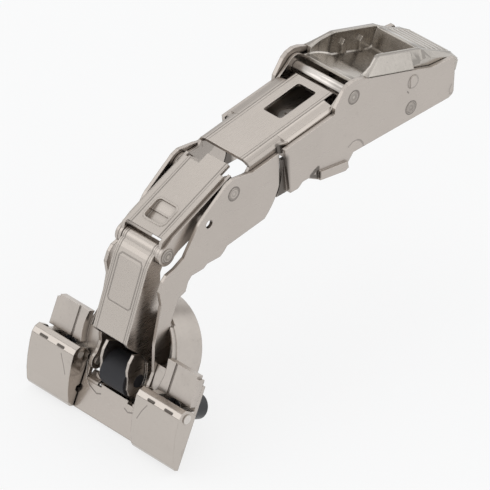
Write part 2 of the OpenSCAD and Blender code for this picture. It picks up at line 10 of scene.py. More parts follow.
import bmesh
import bpy
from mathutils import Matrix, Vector

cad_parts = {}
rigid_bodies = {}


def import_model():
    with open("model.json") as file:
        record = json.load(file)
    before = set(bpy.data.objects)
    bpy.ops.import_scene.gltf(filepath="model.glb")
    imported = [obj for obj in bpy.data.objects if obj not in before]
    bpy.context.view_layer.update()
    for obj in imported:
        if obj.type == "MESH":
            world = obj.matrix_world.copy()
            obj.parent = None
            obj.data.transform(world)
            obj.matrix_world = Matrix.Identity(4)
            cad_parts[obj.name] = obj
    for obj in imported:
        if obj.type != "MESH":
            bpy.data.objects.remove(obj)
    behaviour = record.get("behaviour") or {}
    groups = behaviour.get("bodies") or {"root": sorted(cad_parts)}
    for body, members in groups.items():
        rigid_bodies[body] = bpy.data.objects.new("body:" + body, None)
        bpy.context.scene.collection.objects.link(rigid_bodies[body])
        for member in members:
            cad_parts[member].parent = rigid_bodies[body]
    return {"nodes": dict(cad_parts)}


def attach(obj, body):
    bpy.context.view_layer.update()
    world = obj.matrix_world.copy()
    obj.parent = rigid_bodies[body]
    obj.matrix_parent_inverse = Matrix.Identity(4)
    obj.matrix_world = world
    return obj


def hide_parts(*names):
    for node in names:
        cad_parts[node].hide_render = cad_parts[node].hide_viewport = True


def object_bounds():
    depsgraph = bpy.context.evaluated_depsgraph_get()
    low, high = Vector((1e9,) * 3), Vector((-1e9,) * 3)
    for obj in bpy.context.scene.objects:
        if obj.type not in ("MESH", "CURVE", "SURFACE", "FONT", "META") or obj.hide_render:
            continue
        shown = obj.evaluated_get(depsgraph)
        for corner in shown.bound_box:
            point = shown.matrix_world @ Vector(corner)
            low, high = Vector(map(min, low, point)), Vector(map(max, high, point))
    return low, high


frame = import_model()
CAD_BOX = [list(corner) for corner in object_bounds()]

LOG = logging.getLogger("cup_hinge")
MM = 0.001

# Where the CAD has its pivots and planes, in mm and degrees, measured from the arm pin
SEAT_DROP = 20.0
OPENING = 155.0
REAR_LENGTH = 51.0
REAR_FALL = 13.5
FRONT_LENGTH = 27.9
FRONT_FALL = 23.9
FLANGE_AT = (85.7, -66.0)
CLIP_RIVET = (-25.3, -15.7)
CLIP_DECK = (-26.0, -2.4)
CLIP_RISE = 17.7
LINK_FALL = 82.91

Point = tuple[float, float]
Colour = tuple[float, float, float]
Operand = Union["Scalar", float]


class Side(Enum):
    """The two halves of the hinge, as the sign of Y."""

    LEFT = 1
    RIGHT = -1


class Plane(Enum):
    """The planes in which outlines are given.

    The first three lie across Y, measured from the arm pin, the middle rivet and the flange line. The last
    two are faces, with Y first: the flange's front, and the cup link's web, measured down from the front pin.
    """

    ARM = "arm"
    FRONT_LEVER = "front_lever"
    FLANGE = "flange"
    FLANGE_FACE = "flange_face"
    LINK_FACE = "link_face"


def down_slope(start: Point, fall: float, along: float, above: float = 0.0) -> Point:
    """Goes down a slope from its start, and then square to it.

    Args:
        start: The slope's start, in mm.
        fall: How steeply it falls towards X, in degrees.
        along: How far to go down the slope, in mm.
        above: How far to go square to it, in mm.

    Returns:
        The place in the X-Z plane, in mm.
    """
    turn = math.radians(fall)
    return (start[0] + along * math.cos(turn) + above * math.sin(turn),
            start[1] - along * math.sin(turn) + above * math.cos(turn))


def in_row(point: Point, y: float = 0.0, plane: Plane = Plane.ARM) -> Vector:
    """Turns a point of an outline into a place in the row frame.

    Args:
        point: The two coordinates in the outline's own plane, in mm.
        y: The place across the hinge, in mm.
        plane: The plane in which the point is given.

    Returns:
        The place in metres.
    """
    if plane is Plane.FLANGE:
        point = down_slope(FLANGE_AT, OPENING - 270, *point)
    elif plane is Plane.FRONT_LEVER:
        point = down_slope(down_slope((0.0, 0.0), REAR_FALL, REAR_LENGTH), FRONT_FALL, *point)
    x, z = point
    return Vector((x, y, z + SEAT_DROP)) * MM


# Each face's origin, and the fall of its second coordinate in degrees
FACES = {
    Plane.FLANGE_FACE: (in_row((0.0, 0.0), 0.0, Plane.FLANGE), OPENING - 270),
    Plane.LINK_FACE: (in_row((FRONT_LENGTH, 0.0), 0.0, Plane.FRONT_LEVER), LINK_FALL),
}


# Shader expressions

CORNER_SAMPLES = 12
EDGE_SAMPLES = 6


class Board:
    """A material's or the world's node tree, with one way to add a node."""

    def __init__(self, tree: bpy.types.NodeTree) -> None:
        """Sets up the board.

        Args:
            tree: The node tree, which is emptied.
        """
        tree.nodes.clear()
        self.tree = tree
        self.made: dict[object, object] = {}

    def node(self, kind: str, settings: Optional[dict] = None,
             sockets: Optional[dict] = None) -> bpy.types.Node:
        """Adds a node.

        Args:
            kind: The node's type.
            settings: Properties that are set first.
            sockets: Values or links, by the socket's name or number.

        Returns:
            The new node.
        """
        made = self.tree.nodes.new(kind)
        for name, value in (settings or {}).items():
            setattr(made, name, value)
        for key, value in (sockets or {}).items():
            if isinstance(value, Scalar):
                value = value.socket
            if isinstance(value, bpy.types.NodeSocket):
                self.tree.links.new(value, made.inputs[key])
            else:
                made.inputs[key].default_value = value
        return made

    def scalar(self, kind: str, output: Union[str, int], settings: Optional[dict] = None,
               sockets: Optional[dict] = None) -> "Scalar":
        """Adds a node and wraps one of its outputs.

        Args:
            kind: The node's type.
            output: The output's name or number.
            settings: The node's settings.
            sockets: The node's values or links.

        Returns:
            The output as a value for expressions.
        """
        return Scalar(self, self.node(kind, settings, sockets).outputs[output])

    def measure(self, operation: str, first: object, second: object) -> "Scalar":
        """Measures two vectors against each other with a Vector Math node."""
        return self.scalar("ShaderNodeVectorMath", "Value", {"operation": operation}, {0: first, 1: second})

    def mix(self, share: Operand, first: object, second: object) -> bpy.types.NodeSocket:
        """Mixes two colours.

        Args:
            share: How much of the second colour shows.
            first: A colour or a colour socket.
            second: A colour or a colour socket.

        Returns:
            The mixed colour's socket.
        """
        base, over = (value if isinstance(value, bpy.types.NodeSocket) else (*value, 1.0)
                      for value in (first, second))
        settings = {"data_type": "RGBA", "blend_type": "MIX"}
        return self.node("ShaderNodeMix", settings, {0: share, 6: base, 7: over}).outputs[2]

    def place(self, scale: Sequence[float]) -> bpy.types.NodeSocket:
        """Gives the surface point in the row frame, scaled per axis from metres.

        Args:
            scale: The factor for each axis, per mm.

        Returns:
            The scaled place.
        """
        coordinate = self.node("ShaderNodeTexCoord").outputs["Object"]
        factors = tuple(value / MM for value in scale)
        scaled = self.node("ShaderNodeVectorMath", {"operation": "MULTIPLY"}, {0: coordinate, 1: factors})
        return scaled.outputs[0]

    def across(self) -> "Scalar":
        """Measures from the hinge's middle plane.

        Returns:
            The distance in mm, the same on both halves.
        """
        if "across" not in self.made:
            parts = self.node("ShaderNodeSeparateXYZ", None, {0: self.place((1.0, 1.0, 1.0))})
            self.made["across"] = Scalar(self, parts.outputs[1]).size()
        return self.made["across"]

    def drawn(self, plane: Plane) -> bpy.types.NodeSocket:
        """Gives the surface point in the plane in which marks are drawn.

        Args:
            plane: The marks' plane.

        Returns:
            The point, in mm.
        """
        key = plane if plane in FACES else Plane.ARM
        if key not in self.made:
            if plane in FACES:
                origin, fall = FACES[plane]
                x, z = down_slope((0.0, 0.0), fall, 1.0)
                moved = self.node("ShaderNodeVectorMath", {"operation": "SUBTRACT"}, {
                    0: self.place((1.0, 1.0, 1.0)), 1: tuple(origin / MM)}).outputs[0]
                along = self.measure("DOT_PRODUCT", moved, (x, 0.0, z))
                joined = self.node("ShaderNodeCombineXYZ", None, {0: self.across(), 1: along})
                self.made[key] = joined.outputs[0]
            else:
                self.made[key] = self.place((1.0, 0.0, 1.0))
        return self.made[key]

    def closeness(self, reach: float) -> "Scalar":
        """Finds corners and gaps, for the painted shade that darkens them.

        Args:
            reach: How far a neighbouring surface counts, in mm.

        Returns:
            0 in the open, near 1 in a narrow gap.
        """
        settings = {"samples": CORNER_SAMPLES}
        opened = self.scalar("ShaderNodeAmbientOcclusion", "AO", settings, {"Distance": reach * MM})
        return (1.0 - opened).held()

    def noise(self, scale: Sequence[float], detail: float = 3.0, roughness: float = 0.5) -> "Scalar":
        """Adds noise in the row frame.

        Args:
            scale: Waves per mm along each axis.
            detail: The number of octaves.
            roughness: How strong the finer octaves are.

        Returns:
            The noise, about 0.5 on average.
        """
        sockets = {"Vector": self.place(scale), "Scale": 1.0, "Detail": detail, "Roughness": roughness}
        return self.scalar("ShaderNodeTexNoise", 0, {"noise_dimensions": "3D"}, sockets)


class Scalar:
    """A number that varies over a surface; using it in an expression adds Math nodes."""

    def __init__(self, board: Board, socket: bpy.types.NodeSocket) -> None:
        """Keeps the board and the socket."""
        self.board = board
        self.socket = socket

    def _math(self, operation: str, first: Operand, second: Operand = 0.0, clamp: bool = False) -> "Scalar":
        """Adds one Math node."""
        settings = {"operation": operation, "use_clamp": clamp}
        return self.board.scalar("ShaderNodeMath", 0, settings, {0: first, 1: second})

    def __add__(self, other: Operand) -> "Scalar":
        """Adds."""
        return self._math("ADD", self, other)

    __radd__ = __add__

    def __sub__(self, other: Operand) -> "Scalar":
        """Subtracts."""
        return self._math("SUBTRACT", self, other)

    def __rsub__(self, other: Operand) -> "Scalar":
        """Subtracts from a number."""
        return self._math("SUBTRACT", other, self)

    def __mul__(self, other: Operand) -> "Scalar":
        """Multiplies."""
        return self._math("MULTIPLY", self, other)

    __rmul__ = __mul__

    def __pow__(self, other: Operand) -> "Scalar":
        """Raises to a power."""
        return self._math("POWER", self, other)

    def most(self, other: Operand) -> "Scalar":
        """Takes the larger value."""
        return self._math("MAXIMUM", self, other)

    def least(self, other: Operand) -> "Scalar":
        """Takes the smaller value."""
        return self._math("MINIMUM", self, other)

    def size(self) -> "Scalar":
        """Drops the sign."""
        return self._math("ABSOLUTE", self)

    def held(self) -> "Scalar":
        """Keeps the value between 0 and 1."""
        return self._math("ADD", self, 0.0, clamp=True)

    def step(self, low: float, high: float) -> "Scalar":
        """Rises smoothly from 0 to 1.

        Args:
            low: Where the rise starts.
            high: Where the rise ends.

        Returns:
            The smooth step.
        """
        settings = {"interpolation_type": "SMOOTHSTEP"}
        return self.board.scalar("ShaderNodeMapRange", 0, settings, {0: self, 1: low, 2: high})


# Marks

# The share of a mark's width that is drawn in full, and the blur where a mark is cut off, in mm
CORE = 0.35
CUT_OFF = 0.05


@dataclass(frozen=True)
class Mark:
    """A line pressed, bent or cut into a surface; each kind gives its own distance.

    Attributes:
        width: How far from its middle the line has faded out, in mm.
        depth: How deep it is pressed in, in mm.
        dark: How dark it is painted, from 0 to 1: painted shade along pressed lines, folds, dents and shaded
            strips, and the dark of seams, slots and the dowel's slit.
        beyond: The distance from the middle plane within which it is left out, in mm.
    """

    width: float = 0.3
    depth: float = 0.12
    dark: float = 0.55
    beyond: float = 0.0

    def distance(self, board: Board) -> Scalar:
        """Gives the distance from the line, in mm; each kind has its own."""
        raise NotImplementedError

    def mask(self, board: Board) -> Scalar:
        """Draws the line.

        Args:
            board: The material's board.

        Returns:
            1 on the line and 0 away from it.
        """
        line = 1.0 - self.distance(board).step(self.width * CORE, self.width)
        if self.beyond > 0:
            line = line * board.across().step(self.beyond - CUT_OFF, self.beyond + CUT_OFF)
        return line


@dataclass(frozen=True)
class Fold(Mark):
    """A straight fold line along the sheet, at one place across the hinge."""

    y: float = 0.0

    def distance(self, board: Board) -> Scalar:
        """Gives the distance from the fold."""
        return (board.across() - self.y).size()


@dataclass(frozen=True)
class Ring(Mark):
    """A ring around a pin."""

    centre: Point = (0.0, 0.0)
    radius: float = 2.2
    plane: Plane = Plane.ARM

    def distance(self, board: Board) -> Scalar:
        """Gives the distance from the ring.

        Args:
            board: The material's board.

        Returns:
            The distance in mm.
        """
        middle = in_row(self.centre, 0.0, self.plane) / MM
        reach = board.measure("DISTANCE", board.drawn(self.plane), (middle.x, 0.0, middle.z))
        return (reach - self.radius).size()


@dataclass(frozen=True)
class Stroke(Mark):
    """A line through some points of a plane."""

    points: tuple[Point, ...] = ()
    plane: Plane = Plane.ARM

    def distance(self, board: Board) -> Scalar:
        """Gives the distance from the nearest stretch of the line.

        Args:
            board: The material's board.

        Returns:
            The distance in mm.
        """
        if self.plane in FACES:
            places = [Vector((a, b, 0.0)) for a, b in self.points]
        else:
            places = [in_row(point, 0.0, self.plane) / MM for point in self.points]
        nearest = None
        for start, end in zip(places, places[1:]):
            step = end - start
            moved = board.node("ShaderNodeVectorMath", {"operation": "SUBTRACT"}, {
                0: board.drawn(self.plane), 1: tuple(start)}).outputs[0]
            share = board.measure("DOT_PRODUCT", moved, tuple(step / step.length_squared)).held()
            foot = board.node("ShaderNodeVectorMath", {"operation": "SCALE"}, {
                0: tuple(step), "Scale": share}).outputs[0]
            gap = board.measure("DISTANCE", moved, foot)
            nearest = gap if nearest is None else nearest.least(gap)
        return nearest


# Finishes

# How far and how steeply the painted shade in corners and gaps reaches
SHADE_REACH = 2.2
SHADE_POWER = 1.25
# How far the rounded normal leaves the flat one, as 1 minus the cosine: on an edge, painted lighter as wear and
# as a painted highlight, and beside it, in a band of painted shade
WORN_LIT_EDGE = (0.03, 0.16)
SHADED_EDGE_BAND = (0.0015, 0.012)


@dataclass(frozen=True)
class Finish:
    """What every finish shares: a base colour, its marks, and the edge rounding that catches the light.

    Attributes:
        name: The material's name.
        colour: The clean surface's colour.
        roughness: The clean surface's roughness.
        edge_radius: How far the edges are rounded, in mm.
        marks: The lines on the surface.
        corner_shade: How dark the painted shade in corners and gaps gets, from 0 to 1.
        outline: How dark the painted shade in the band beside each edge gets, from 0 to 1.
        shade_and_seam_colour: The colour of painted shade, and of dark seams and slots.
    """

    name: str
    colour: Colour
    roughness: float
    edge_radius: float = 0.34
    marks: tuple[Mark, ...] = ()
    corner_shade: float = 0.85
    outline: float = 0.4
    shade_and_seam_colour: Colour = (0.05, 0.042, 0.036)

    def tint(self, factor: float) -> Colour:
        """Gives the finish's colour times a factor."""
        return tuple(min(value * factor, 1.0) for value in self.colour)

    def lines(self, board: Board, beside: Scalar) -> tuple[Scalar, Scalar]:
        """Adds up the painted shade in corners, beside edges and along the marks, and how deep the marks are
        pressed.

        Args:
            board: The material's board.
            beside: A mask of the band beside each edge, where painted shade goes.

        Returns:
            How dark the surface is, from 0 to 1, and how deep it is pressed in, in mm.
        """
        # Painted shade: darker in corners and gaps, and in a band beside each edge
        dark = (board.closeness(SHADE_REACH) ** SHADE_POWER * self.corner_shade).most(beside * self.outline)
        deep = dark * 0.0
        for mark in self.marks:
            line = mark.mask(board)
            # Each mark is darkened, mostly as painted shade along it
            dark = dark.most(line * mark.dark)
            deep = deep + line * mark.depth
        return dark.held(), deep

    def edges(self, board: Board) -> tuple[bpy.types.NodeSocket, Scalar, Scalar]:
        """Finds the rounded edges.

        Args:
            board: The material's board.

        Returns:
            The rounded normal, a mask that is 1 on edges, painted lighter as wear and as a painted highlight,
            and a mask of the band beside them, painted as shade.
        """
        settings = {"samples": EDGE_SAMPLES}
        rounded = board.node("ShaderNodeBevel", settings, {"Radius": self.edge_radius * MM}).outputs[0]
        flat = board.node("ShaderNodeNewGeometry").outputs["True Normal"]
        facing = board.measure("DOT_PRODUCT", rounded, flat)
        worn_and_lit = (1.0 - facing).step(*WORN_LIT_EDGE)
        return rounded, worn_and_lit, (1.0 - facing).step(*SHADED_EDGE_BAND) * (1.0 - worn_and_lit)

    def surface(self, board: Board, body: bpy.types.NodeSocket, rough: Scalar, height: Scalar,
                rounded: bpy.types.NodeSocket, metallic: float = 1.0) -> bpy.types.Node:
        """Joins colour, roughness and relief in one shader node.

        Args:
            board: The material's board.
            body: The colour.
            rough: The roughness.
            height: The relief, in mm.
            rounded: The rounded normal.
            metallic: 1 for a metal and 0 for a plastic.

        Returns:
            The shader node.
        """
        bump = board.node("ShaderNodeBump", None, {
            "Strength": 1.0, "Distance": MM, "Height": height, "Normal": rounded})
        return board.node("ShaderNodeBsdfPrincipled", None, {
            "Base Color": body, "Roughness": rough, "Metallic": metallic, "Normal": bump.outputs[0]})

    def shader(self, board: Board) -> bpy.types.Node:
        """Adds the finish's own nodes and returns its shader node; each finish has its own."""
        raise NotImplementedError

    def material(self) -> bpy.types.Material:
        """Makes the material, or gives the one that is already made.

        Returns:
            The material.
        """
        made = bpy.data.materials.get(self.name)
        if made is None:
            made = bpy.data.materials.new(self.name)
            made.use_nodes = True
            made.diffuse_color = (*self.colour, 1.0)
            board = Board(made.node_tree)
            shader = self.shader(board)
            board.node("ShaderNodeOutputMaterial", None, {"Surface": shader.outputs[0]})
        return made


@dataclass(frozen=True)
class SheetNickel(Finish):
    """Satin nickel on pressed sheet: rolling streaks, a faint mottle, fine grain, and edges painted bright as
    wear and as a painted highlight.
    """

    streak: float = 0.05
    mottle: float = 0.07
    grain: float = 0.012

    def shader(self, board: Board) -> bpy.types.Node:
        """Builds the sheet's shader.

        Args:
            board: The material's board.

        Returns:
            The shader node.
        """
        rounded, edge, beside = self.edges(board)
        streaks = board.noise((0.12, 2.6, 2.6), 4.0, 0.6)
        cloud = board.noise((0.09, 0.09, 0.09), 3.0)
        speck = board.noise((3.4, 3.4, 3.4), 2.0)
        stain = board.noise((0.32, 0.32, 0.32), 5.0, 0.62).step(0.6, 0.78)
        tone = ((cloud - 0.5) * self.mottle * 4 + (streaks - 0.5) * self.streak * 5 + 0.35).held()
        body = board.mix(tone, self.tint(0.82), self.tint(1.1))
        body = board.mix(stain * 0.22, body, self.tint(0.7))
        # Edges painted lighter, partly as wear and partly as a painted highlight
        body = board.mix(edge * 0.75, body, self.tint(1.28))
        dark, deep = self.lines(board, beside)
        # Painted shade in corners, beside edges and along the marks
        body = board.mix(dark, body, self.shade_and_seam_colour)
        rough = self.roughness + (streaks - 0.5) * 0.2 + (speck - 0.5) * 0.04 + stain * 0.08 - edge * 0.1
        height = (speck * 0.3 + streaks * 0.7) * self.grain * 0.1 - deep
        return self.surface(board, body, rough.held(), height, rounded)


@dataclass(frozen=True)
class CastNickel(Finish):
    """Nickel on a zinc casting: a soft pebbled skin, darker in its lows, with edges painted bright as wear and
    as a painted highlight.
    """

    pebble: float = 0.03

    def shader(self, board: Board) -> bpy.types.Node:
        """Builds the casting's shader.

        Args:
            board: The material's board.

        Returns:
            The shader node.
        """
        rounded, edge, beside = self.edges(board)
        cloud = board.noise((0.14, 0.14, 0.14), 4.0, 0.55)
        pebble = board.noise((0.9, 0.9, 0.9), 3.0, 0.5)
        pit = (1.0 - board.noise((0.9, 0.9, 0.9), 2.0)).step(0.62, 0.74)
        tone = (cloud * 0.9 + (pebble - 0.5) * 0.5).held()
        body = board.mix(tone, self.tint(0.88), self.tint(1.1))
        body = board.mix(pit * 0.15, body, self.tint(0.5))
        # Edges painted lighter, partly as wear and partly as a painted highlight
        body = board.mix(edge * 0.8, body, self.tint(1.45))
        dark, deep = self.lines(board, beside)
        # Painted shade in corners, beside edges and along the marks
        body = board.mix(dark, body, self.shade_and_seam_colour)
        rough = (self.roughness + (pebble - 0.5) * 0.12 + pit * 0.06 - edge * 0.14).held()
        return self.surface(board, body, rough, (pebble - pit * 0.5) * self.pebble * 0.06 - deep, rounded)


@dataclass(frozen=True)
class TurnedSteel(Finish):
    """Bright turned steel: fine lathe rings across the pin and a few rub marks.

    Attributes:
        ring_pitch: The pitch of the lathe rings, in mm.
        end_from: The distance from the middle plane at which a riveted end starts, in mm.
        end_colour: The riveted end's colour.
    """

    ring_pitch: float = 0.11
    end_from: float = 99.0
    end_colour: Colour = (0.5, 0.455, 0.415)

    def shader(self, board: Board) -> bpy.types.Node:
        """Builds the pin's shader.

        Args:
            board: The material's board.

        Returns:
            The shader node.
        """
        rounded, edge, beside = self.edges(board)
        rings = board.noise((0.15, 1.0 / self.ring_pitch, 0.15), 2.0)
        rub = board.noise((0.5, 0.22, 0.5), 4.0, 0.6).step(0.52, 0.7)
        body = board.mix(rub * 0.5, self.colour, self.tint(0.72))
        body = board.mix((rings * 0.5).held(), body, self.tint(1.2))
        end = board.across().step(self.end_from - 0.02, self.end_from + 0.02)
        body = board.mix(end, body, self.end_colour)
        dark, deep = self.lines(board, beside)
        # Painted shade in corners, beside edges and along the marks
        body = board.mix(dark, body, self.shade_and_seam_colour)
        rough = (self.roughness + (rings - 0.5) * 0.18 + rub * 0.12 - edge * 0.06 + end * 0.16).held()
        return self.surface(board, body, rough, rings * 0.0012 - deep, rounded)


@dataclass(frozen=True)
class SpringWire(Finish):
    """Drawn spring wire: dark, oiled, with streaks along the draw."""

    oil: float = 0.4

    def shader(self, board: Board) -> bpy.types.Node:
        """Builds the wire's shader.

        Args:
            board: The material's board.

        Returns:
            The shader node.
        """
        film = board.noise((0.4, 0.4, 0.4), 4.0, 0.6).step(0.45, 0.7)
        draw = board.noise((2.0, 6.0, 2.0), 2.0)
        body = board.mix(film * self.oil, self.colour, self.tint(0.45))
        body = board.mix(draw * 0.4, body, self.tint(1.25))
        rough = (self.roughness + (draw - 0.5) * 0.2 - film * 0.1).held()
        bump = board.node("ShaderNodeBump", None, {"Strength": 0.25, "Distance": 0.01 * MM, "Height": draw})
        return board.node("ShaderNodeBsdfPrincipled", None, {
            "Base Color": body, "Roughness": rough, "Metallic": 1.0, "Normal": bump.outputs[0]})


@dataclass(frozen=True)
class MouldedPlastic(Finish):
    """Black moulded plastic: a fine spark-eroded grain, grey scuffs, and slightly paler edges as wear and as a
    painted highlight.
    """

    texture: float = 0.03
    scuff_and_sheen_grey: Colour = (0.11, 0.11, 0.115)
    crevice_shade: Colour = (0.003, 0.003, 0.003)

    def shader(self, board: Board) -> bpy.types.Node:
        """Builds the plastic's shader.

        Args:
            board: The material's board.

        Returns:
            The shader node.
        """
        rounded, edge, beside = self.edges(board)
        grain = board.noise((4.5, 4.5, 4.5), 3.0, 0.6)
        flow = board.noise((0.35, 1.6, 0.35), 3.0)
        scuff = board.noise((0.7, 0.7, 0.7), 5.0, 0.7).step(0.62, 0.75)
        body = board.mix(flow * 0.6, self.colour, tuple(value * 1.5 + 0.004 for value in self.colour))
        # Scuffs, and edges painted paler, partly as wear and partly as a painted highlight
        body = board.mix((scuff * 0.22 + edge * 0.4).held(), body, self.scuff_and_sheen_grey)
        dark, deep = self.lines(board, beside)
        # Painted shade in corners, beside edges and along the marks
        body = board.mix(dark, body, self.crevice_shade)
        rough = (self.roughness + (grain - 0.5) * 0.3 + scuff * 0.12 - edge * 0.08).held()
        return self.surface(board, body, rough, grain * self.texture * 0.35 - deep, rounded, 0.0)


NICKEL: Colour = (0.545, 0.495, 0.452)
COVER: Colour = (0.565, 0.515, 0.47)
PIN: Colour = (0.66, 0.62, 0.58)
PLASTIC: Colour = (0.014, 0.014, 0.016)
# The distances from the middle plane beyond which only the arm's outer faces and the pins' ends lie
OUTER = 12.5
PIN_END = 13.0


def seam(centre: Point, plane: Plane = Plane.ARM, beyond: float = 0.0) -> Ring:
    """Gives the seam that a riveted pin leaves in the sheet round it."""
    return Ring(0.32, 0.08, 0.62, beyond, centre, 2.25, plane)


SATIN = SheetNickel("nickel_sheet", NICKEL, 0.3)
# In order: two seams, the boss, the bead, a nick below the boss, the hook's dent, the rear corner's dent and
# the shade behind the front edge
ARM_SHEET = SheetNickel("nickel_arm", NICKEL, 0.3, marks=(
    seam((0.0, 0.0), beyond=OUTER), seam(CLIP_RIVET, beyond=OUTER),
    Ring(0.3, 0.1, 0.3, OUTER, (-26.0, -6.5), 2.1),
    Stroke(0.35, 0.2, 0.3, OUTER, (
        (-4.6, -20.4), (-4.2, -18.6), (-3.2, -17.2), (-1.6, -16.3), (0.4, -16.2), (2.2, -17.2))),
    Stroke(0.3, 0.12, 0.5, OUTER, ((-23.6, -9.0), (-24.2, -9.9))),
    Stroke(1.0, 0.1, 0.75, OUTER, ((18.2, -19.8), (15.3, -18.4), (15.3, -21.6), (18.2, -20.0))),
    Stroke(0.3, 0.08, 0.25, OUTER, ((-43.4, -15.6), (-42.4, -17.2), (-42.6, -18.8), (-43.6, -19.0))),
    Stroke(3.0, 0.0, 0.8, 8.4, ((30.1, -9.0), (29.5, -22.5))),
))
# The painted shade under the arm's front edge, then the cover's two fold lines and a painted shade on its
# shoulder
REAR_SHEET = SheetNickel("nickel_rear_cover", COVER, 0.28, marks=(
    Stroke(1.5, 0.0, 0.8, 9.2, ((30.0, -5.0), (27.9, -21.5))),
    Fold(0.3, 0.1, 0.5, y=7.85), Fold(0.22, 0.08, 0.3, y=6.9), Fold(2.0, 0.0, 0.3, y=9.9),
))
COVER_SHEET = SheetNickel("nickel_front_cover", COVER, 0.28, marks=(
    Fold(0.28, 0.1, 0.5, y=5.8), Fold(0.22, 0.05, 0.3, y=6.6),
))
# The outline of the bare panel, then two fold lines
LINK_SHEET = SheetNickel("nickel_link", COVER, 0.28, marks=(
    Stroke(0.34, 0.12, 0.42, plane=Plane.LINK_FACE, points=(
        (0.0, 3.0), (4.0, 3.0), (4.8, 3.8), (4.8, 17.2), (4.0, 18.0), (0.0, 18.0))),
    Fold(0.26, 0.08, 0.45, y=5.75), Fold(0.2, 0.05, 0.3, y=6.5),
))
LONG_SHEET = SheetNickel("nickel_long_lever", NICKEL, 0.3, marks=(seam((0.0, 0.0), Plane.FRONT_LEVER),))
# Two slots in the rolled edge and a crease
FLAP_SHEET = SheetNickel("nickel_flap", COVER, 0.2, streak=0.02, mottle=0.03, outline=0.55, marks=(
    Stroke(0.5, 0.3, 0.9, points=((18.4, 0.5), (20.8, 0.5)), plane=Plane.FLANGE_FACE),
    Stroke(0.5, 0.3, 0.9, points=((25.6, 0.5), (28.4, 0.5)), plane=Plane.FLANGE_FACE),
    Stroke(0.24, 0.08, 0.4, points=((18.6, -1.4), (17.0, -4.0), (15.6, -7.0)), plane=Plane.FLANGE_FACE),
))
# The embossed line round the notch and a short crease beside it
PLATE_SHEET = SheetNickel("nickel_flange", NICKEL, 0.24, streak=0.03, mottle=0.05, marks=(
    Stroke(0.26, 0.1, 0.5, points=((13.6, -2.0), (12.6, -5.5), (10.4, -8.4), (6.8, -9.6), (5.2, -9.0)),
           plane=Plane.FLANGE_FACE),
    Stroke(0.24, 0.08, 0.4, points=((11.2, -1.0), (9.4, -4.6), (9.0, -7.0)), plane=Plane.FLANGE_FACE),
))
CAST = CastNickel("nickel_casting", (0.5, 0.467, 0.428), 0.24, corner_shade=0.38)
CAST_PALE = CastNickel("nickel_cup", (0.52, 0.475, 0.435), 0.32)
BRIGHT = TurnedSteel("bright_pin", PIN, 0.2, corner_shade=0.5)
ARM_PIN = TurnedSteel("bright_arm_pin", PIN, 0.18, end_from=13.2, corner_shade=0.5, marks=(
    Ring(0.3, 0.05, 0.35, PIN_END, (0.0, 0.0), 1.15),
))
CLIP_PIN = TurnedSteel("bright_clip_rivet", PIN, 0.2, end_from=13.2, corner_shade=0.5, marks=(
    Ring(0.3, 0.05, 0.35, PIN_END, CLIP_RIVET, 1.0),
    Stroke(0.25, 0.05, 0.3, PIN_END, ((-25.8, -15.2), (-24.8, -16.2))),
))
FRONT_PIN = TurnedSteel("bright_front_pin", (0.64, 0.6, 0.56), 0.2, end_from=9.55, corner_shade=0.5, marks=(
    Ring(0.3, 0.06, 0.6, 9.4, (FRONT_LENGTH, 0.0), 1.85, Plane.FRONT_LEVER),
    Ring(0.3, 0.05, 0.4, 9.4, (FRONT_LENGTH, 0.0), 0.9, Plane.FRONT_LEVER),
))
RIVET = TurnedSteel("bright_middle_rivet", (0.6, 0.555, 0.515), 0.24, end_from=10.0, corner_shade=0.5)
SPRING = SpringWire("spring_wire", (0.22, 0.2, 0.19), 0.34)
BLACK = MouldedPlastic("black_plastic", PLASTIC, 0.4)
DOWEL = MouldedPlastic("black_dowel", PLASTIC, 0.36, marks=(Fold(0.45, 0.3, 0.9, y=22.5),))


# Meshes

FACETS = 48


def mesh_object(name: str, bm: bmesh.types.BMesh, finish: Finish, smooth: float = 35.0) -> bpy.types.Object:
    """Turns a bmesh into an object with a finish.

    Args:
        name: The piece's name.
        bm: The mesh, which is freed.
        finish: The piece's finish.
        smooth: The angle in degrees below which faces are shaded as one.

    Returns:
        The new object.
    """
    bmesh.ops.recalc_face_normals(bm, faces=bm.faces)
    data = bpy.data.meshes.new(name)
    for face in bm.faces:
        face.smooth = True
    for edge in bm.edges:
        if len(edge.link_faces) == 2 and edge.calc_face_angle(0.0) > math.radians(smooth):
            edge.smooth = False
    bm.to_mesh(data)
    bm.free()
    made = bpy.data.objects.new(name, data)
    bpy.context.scene.collection.objects.link(made)
    data.materials.append(finish.material())
    return made


def turned(name: str, centre: Point, outline: Sequence[Point], finish: Finish,
           plane: Plane = Plane.ARM) -> bpy.types.Object:
    """Turns an outline about an axis along Y.

    Args:
        name: The piece's name.
        centre: The axis in its plane, in mm.
        outline: Pairs of radius and Y, in mm, from one end to the other.
        finish: The piece's finish.
        plane: The plane of the centre.

    Returns:
        The new object.
    """
    bm = bmesh.new()
    middle = in_row(centre, 0.0, plane)
    turn = [2 * math.pi * i / FACETS for i in range(FACETS)]
    rows = []
    for radius, y in outline:
        rows.append([bm.verts.new(middle + Vector((radius * math.cos(t), y, radius * math.sin(t))) * MM)
                     for t in (turn if radius > 0 else turn[:1])])
    for low, high in zip(rows, rows[1:]):
        for i in range(FACETS):
            j = (i + 1) % FACETS
            corners = [low[i % len(low)], low[j % len(low)], high[j % len(high)], high[i % len(high)]]
            unique = list(dict.fromkeys(corners))
            if len(unique) > 2:
                bm.faces.new(unique)
    return mesh_object(name, bm, finish)


